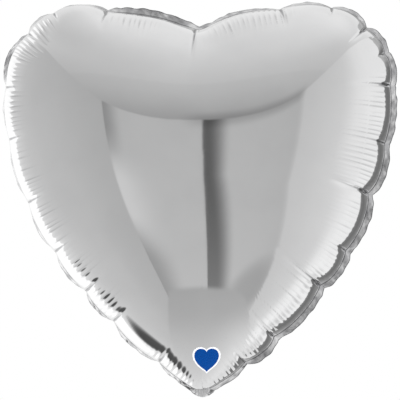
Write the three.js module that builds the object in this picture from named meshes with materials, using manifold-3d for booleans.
// Heart-shaped foil balloon, inflated, with its tail folded up behind the tip.
// Units are millimetres and +Z is up. The front of the heart faces -Y, and the
// origin is at the bottom of the tip, where the ribbon is tied.
//
// Two sheets of metallised film are welded together round their edge. The tail is
// the same two sheets, carried on below the tip as a flat tube, and between them
// runs the self-sealing valve: two strips of clear film that reach up inside.

import * as THREE from "three";
import { mergeVertices } from "three/addons/utils/BufferGeometryUtils.js";
import Module from "manifold-3d";

const wasm = await Module();
wasm.setup();

// Inflated heart
const HALF_WIDTH = 195;
const HEIGHT = 388;
const NOTCH_DEPTH = 24;
const HALF_DEPTH = 94;
const CENTRE_HEIGHT = 238;

// Films and welds
const PANEL_FILM = 0.5;
const VALVE_FILM = 0.3;
const CLEARANCE = 0.3;
const SEAL_MARGIN = 7;
const SEAL_THICKNESS = 1;

// Tail, as it hangs, and the fold that turns it up behind the heart
const TAIL_LENGTH = 62;
const TAIL_ROOT_WIDTH = 24;
const TAIL_MOUTH_WIDTH = 29;
const TAIL_SEAL_WIDTH = 2.5;
const TAIL_FOLD_DROP = 5.5;
const FOLD_HEIGHT = -1;
const FOLD_ANGLE = 122;

// Valve
const VALVE_WIDTH = 17;
const VALVE_REACH = 92;
const VALVE_WELD_WIDTH = 1.5;
const VALVE_MOUTH_SETBACK = 8;
const VALVE_PIVOT_HEIGHT = 12;

// Fineness of the domes, and the settling of the film over them
const SPOKES = 88;
const RINGS = 10;
const GRID_STEP = 4;
const SETTLING_PASSES = 250;
const OVERSHOOT = 1.9;

const silverFilm = () => new THREE.MeshStandardMaterial({
  color: 0xc9cbcd,
  roughness: 0.12,
  metalness: 1,
});
const weldedFilm = () => new THREE.MeshStandardMaterial({
  color: 0xb4b6b9,
  roughness: 0.25,
  metalness: 1,
});
const clearFilm = () => new THREE.MeshStandardMaterial({
  color: 0xe4ecef,
  roughness: 0.2,
  metalness: 0,
});

// The right-hand edge of the heart, from the tip up to the notch.
const rightEdge = new THREE.SplineCurve([
  new THREE.Vector2(0, 0),
  new THREE.Vector2(0.09 * HALF_WIDTH, 0.023 * HEIGHT),
  new THREE.Vector2(0.395 * HALF_WIDTH, 0.145 * HEIGHT),
  new THREE.Vector2(0.738 * HALF_WIDTH, 0.348 * HEIGHT),
  new THREE.Vector2(0.933 * HALF_WIDTH, 0.55 * HEIGHT),
  new THREE.Vector2(HALF_WIDTH, 0.76 * HEIGHT),
  new THREE.Vector2(0.96 * HALF_WIDTH, 0.885 * HEIGHT),
  new THREE.Vector2(0.77 * HALF_WIDTH, 0.98 * HEIGHT),
  new THREE.Vector2(0.56 * HALF_WIDTH, HEIGHT),
  new THREE.Vector2(0.24 * HALF_WIDTH, HEIGHT - 0.33 * NOTCH_DEPTH),
  new THREE.Vector2(0, HEIGHT - NOTCH_DEPTH),
]);

// A point of the outline, set in from the cut edge by inset. turn runs from 0 at
// the tip, up the right-hand side to 0.5 at the notch and down the left to 1.
function outlinePoint(turn, inset) {
  const side = turn > 0.5 ? -1 : 1;
  const along = 2 * (turn > 0.5 ? 1 - turn : turn);
  const point = rightEdge.getPointAt(along);
  const tangent = rightEdge.getTangentAt(along);
  const inward = new THREE.Vector2(-tangent.y, tangent.x);
  if (along < 1e-9) inward.set(0, 1);
  if (along > 1 - 1e-9) inward.set(0, -1);
  point.addScaledVector(inward, inset);
  return new THREE.Vector2(side * Math.max(point.x, 0), point.y);
}

// The welded line as a closed polygon, for asking what lies inside it.
const weldedLine = Array.from({ length: SPOKES }, (_, k) => outlinePoint(k / SPOKES, SEAL_MARGIN));

function insideHeart(x, z) {
  let inside = false;
  weldedLine.forEach((a, k) => {
    const b = weldedLine[(k + 1) % SPOKES];
    const crosses = a.y > z !== b.y > z;
    if (crosses && x < a.x + ((b.x - a.x) * (z - a.y)) / (b.y - a.y)) inside = !inside;
  });
  return inside;
}

// How far the film stands out, as a share of its fullest, on a square grid over the
// heart. A film under pressure settles where each point stands a little above the
// mean of its neighbours; the square root then gives the steep flanks of film that
// can't stretch. The function that comes back reads the grid between its points.
function settledRise() {
  const columns = Math.ceil((2 * HALF_WIDTH) / GRID_STEP) + 3;
  const rows = Math.ceil(HEIGHT / GRID_STEP) + 3;
  const left = -((columns - 1) / 2) * GRID_STEP;
  const swell = new Float64Array(columns * rows);
  const free = [];
  for (let row = 1; row < rows - 1; row += 1) {
    for (let column = 1; column < columns - 1; column += 1) {
      const inside = insideHeart(left + column * GRID_STEP, (row - 1) * GRID_STEP);
      if (inside) free.push(row * columns + column);
    }
  }
  for (let pass = 0; pass < SETTLING_PASSES; pass += 1) {
    for (const i of free) {
      const around = swell[i - 1] + swell[i + 1] + swell[i - columns] + swell[i + columns];
      swell[i] += OVERSHOOT * ((around + 1) / 4 - swell[i]);
    }
  }
  const fullest = swell.reduce((most, value) => Math.max(most, value), 0);
  return (x, z) => {
    const u = (x - left) / GRID_STEP;
    const v = z / GRID_STEP + 1;
    const column = Math.floor(u);
    const row = Math.floor(v);
    const at = (c, r) => swell[r * columns + c];
    const low = THREE.MathUtils.lerp(at(column, row), at(column + 1, row), u - column);
    const high = THREE.MathUtils.lerp(at(column, row + 1), at(column + 1, row + 1), u - column);
    return Math.sqrt(THREE.MathUtils.lerp(low, high, v - row) / fullest);
  };
}

const riseAt = settledRise();

// One closed loop of film, turned round the centre: out over the outer skin and
// back under the inner one. Each turned point is then drawn out to the heart, with
// the rings closer together towards the steep rim.
function domeGeometry(facing) {
  const profile = [];
  for (let ring = 0; ring <= RINGS; ring += 1) {
    profile.push(new THREE.Vector2(ring, 1));
  }
  for (let ring = RINGS; ring >= 0; ring -= 1) {
    profile.push(new THREE.Vector2(ring, 0));
  }
  const geometry = new THREE.LatheGeometry(profile, SPOKES);
  const position = geometry.attributes.position;
  for (let i = 0; i < position.count; i += 1) {
    const ring = Math.round(Math.hypot(position.getX(i), position.getZ(i)));
    const film = position.getY(i) > 0.5 ? 0 : PANEL_FILM;
    const turn = Math.atan2(position.getX(i), position.getZ(i)) / (2 * Math.PI);
    const spoke = (Math.round(turn * SPOKES) + SPOKES) % SPOKES;
    const share = Math.sin((Math.PI / 2) * (ring / RINGS));
    const centre = new THREE.Vector2(0, CENTRE_HEIGHT);
    const skin = centre.clone().lerp(outlinePoint(spoke / SPOKES, SEAL_MARGIN), share);
    const lining = centre.clone().lerp(outlinePoint(spoke / SPOKES, SEAL_MARGIN + film), share);
    const rise = ring === RINGS ? 0 : riseAt(skin.x, skin.y);
    const out = rimStandOff() + (HALF_DEPTH - film) * rise;
    position.setXYZ(i, lining.x, facing * out, lining.y);
  }
  return geometry;
}

// Each panel's rim stands clear of the seal ring that lies between the two.
function rimStandOff() {
  return SEAL_THICKNESS / 2 + CLEARANCE;
}

// The closed solid that a geometry bounds, turned the right way out.
function solidOf(geometry) {
  const bare = geometry.index ? geometry.clone() : mergeVertices(geometry);
  bare.deleteAttribute("normal");
  bare.deleteAttribute("uv");
  const welded = mergeVertices(bare, 1e-3);
  const position = welded.attributes.position;
  const corners = [];
  let volume = 0;
  const a = new THREE.Vector3();
  const b = new THREE.Vector3();
  const c = new THREE.Vector3();
  for (let i = 0; i < welded.index.count; i += 3) {
    const [p, q, r] = [0, 1, 2].map((step) => welded.index.getX(i + step));
    if (p === q || q === r || r === p) continue;
    corners.push([p, q, r]);
    a.fromBufferAttribute(position, p);
    b.fromBufferAttribute(position, q);
    c.fromBufferAttribute(position, r);
    volume += a.dot(b.cross(c));
  }
  if (volume < 0) corners.forEach((corner) => corner.reverse());
  return new wasm.Manifold(new wasm.Mesh({
    numProp: 3,
    vertProperties: new Float32Array(position.array),
    triVerts: new Uint32Array(corners.flat()),
  }));
}

function geometryOf(solid) {
  const mesh = solid.getMesh();
  const geometry = new THREE.BufferGeometry();
  geometry.setAttribute("position", new THREE.BufferAttribute(mesh.vertProperties, 3));
  geometry.setIndex(new THREE.BufferAttribute(mesh.triVerts, 1));
  geometry.computeVertexNormals();
  return geometry;
}

// A flat plate in the XZ plane with straight sides that may flare, centred on
// depth y, between two heights.
function plateGeometry({ topWidth, bottomWidth, top, bottom, thickness, y, x = 0 }) {
  const outline = new THREE.Shape([
    new THREE.Vector2(x - topWidth / 2, top),
    new THREE.Vector2(x + topWidth / 2, top),
    new THREE.Vector2(x + bottomWidth / 2, bottom),
    new THREE.Vector2(x - bottomWidth / 2, bottom),
  ]);
  const geometry = new THREE.ExtrudeGeometry(outline, { depth: thickness, bevelEnabled: false });
  geometry.rotateX(Math.PI / 2);
  geometry.translate(0, y + thickness / 2, 0);
  return geometry;
}

// A panel: the dome, with the short tongue of film that runs from its tip down to
// the fold of the tail.
function panelGeometry(facing) {
  const dome = solidOf(domeGeometry(facing));
  const tongue = solidOf(plateGeometry({
    topWidth: TAIL_ROOT_WIDTH,
    bottomWidth: TAIL_ROOT_WIDTH,
    top: SEAL_MARGIN + 2,
    bottom: FOLD_HEIGHT + 1.5,
    thickness: PANEL_FILM,
    y: facing * (rimStandOff() + PANEL_FILM / 2),
  }));
  return geometryOf(dome.add(tongue));
}

// The welded margin: a flat ring round the heart, open at the tip where the valve
// passes between the panels.
function edgeSealGeometry() {
  const overlap = 2.5;
  const outer = [];
  const inner = [];
  for (let spoke = 0; spoke < 2 * SPOKES; spoke += 1) {
    outer.push(outlinePoint(spoke / (2 * SPOKES), 0));
    inner.push(outlinePoint(spoke / (2 * SPOKES), SEAL_MARGIN + overlap));
  }
  const shape = new THREE.Shape(outer);
  shape.holes.push(new THREE.Path(inner));
  const ring = new THREE.ExtrudeGeometry(shape, { depth: SEAL_THICKNESS, bevelEnabled: false });
  ring.rotateX(Math.PI / 2);
  ring.translate(0, SEAL_THICKNESS / 2, 0);
  const passage = new THREE.BoxGeometry(TAIL_ROOT_WIDTH + 2 * CLEARANCE, 20, 60);
  return geometryOf(solidOf(ring).subtract(solidOf(passage)));
}

function addMesh(group, name, geometry, material) {
  const mesh = new THREE.Mesh(geometry, material);
  mesh.name = name;
  group.add(mesh);
}

// The two clear films inside the heart, welded to each other down both edges.
function addValve(group) {
  const layer = (VALVE_FILM + CLEARANCE) / 2;
  const reach = { top: VALVE_REACH, bottom: VALVE_PIVOT_HEIGHT };
  const filmWidth = VALVE_WIDTH - 2 * (VALVE_WELD_WIDTH + CLEARANCE);
  const film = { ...reach, topWidth: filmWidth, bottomWidth: filmWidth, thickness: VALVE_FILM };
  addMesh(group, "valve_front_film", plateGeometry({ ...film, y: -layer }), clearFilm());
  addMesh(group, "valve_back_film", plateGeometry({ ...film, y: layer }), clearFilm());
  const weld = {
    ...reach,
    topWidth: VALVE_WELD_WIDTH,
    bottomWidth: VALVE_WELD_WIDTH,
    thickness: 2 * VALVE_FILM + CLEARANCE,
    y: 0,
  };
  const weldPlace = (VALVE_WIDTH - VALVE_WELD_WIDTH) / 2;
  addMesh(group, "valve_weld_left", plateGeometry({ ...weld, x: -weldPlace }), clearFilm());
  addMesh(group, "valve_weld_right", plateGeometry({ ...weld, x: weldPlace }), clearFilm());
}

// The tail as it hangs below its fold, built with the fold line on the X axis.
function hangingTail() {
  const tail = new THREE.Group();
  const top = -TAIL_FOLD_DROP;
  const bottom = -TAIL_LENGTH;
  const valveLayer = (VALVE_FILM + CLEARANCE) / 2;
  const plyLayer = valveLayer + (VALVE_FILM + PANEL_FILM) / 2 + CLEARANCE;
  const ply = {
    top,
    bottom,
    topWidth: TAIL_ROOT_WIDTH,
    bottomWidth: TAIL_MOUTH_WIDTH,
    thickness: PANEL_FILM,
  };
  addMesh(tail, "tail_front_ply", plateGeometry({ ...ply, y: -plyLayer }), silverFilm());
  addMesh(tail, "tail_back_ply", plateGeometry({ ...ply, y: plyLayer }), silverFilm());

  const film = {
    top,
    bottom: bottom + VALVE_MOUTH_SETBACK,
    topWidth: VALVE_WIDTH,
    bottomWidth: VALVE_WIDTH,
    thickness: VALVE_FILM,
  };
  addMesh(tail, "tail_valve_front_film", plateGeometry({ ...film, y: -valveLayer }), clearFilm());
  addMesh(tail, "tail_valve_back_film", plateGeometry({ ...film, y: valveLayer }), clearFilm());

  const seal = {
    top,
    bottom,
    topWidth: TAIL_SEAL_WIDTH,
    bottomWidth: TAIL_SEAL_WIDTH,
    thickness: 2 * (plyLayer - PANEL_FILM / 2 - CLEARANCE),
    y: 0,
  };
  const sealPlace = (TAIL_ROOT_WIDTH - TAIL_SEAL_WIDTH) / 2;
  addMesh(tail, "tail_seal_left", plateGeometry({ ...seal, x: -sealPlace }), weldedFilm());
  addMesh(tail, "tail_seal_right", plateGeometry({ ...seal, x: sealPlace }), weldedFilm());
  return tail;
}

const balloon = new THREE.Group();
addMesh(balloon, "front_panel", panelGeometry(-1), silverFilm());
addMesh(balloon, "back_panel", panelGeometry(1), silverFilm());
addMesh(balloon, "edge_seal", edgeSealGeometry(), weldedFilm());
addValve(balloon);

const tail = hangingTail();
tail.position.set(0, 0, FOLD_HEIGHT);
tail.rotation.x = THREE.MathUtils.degToRad(FOLD_ANGLE);
balloon.add(tail);

export default balloon;
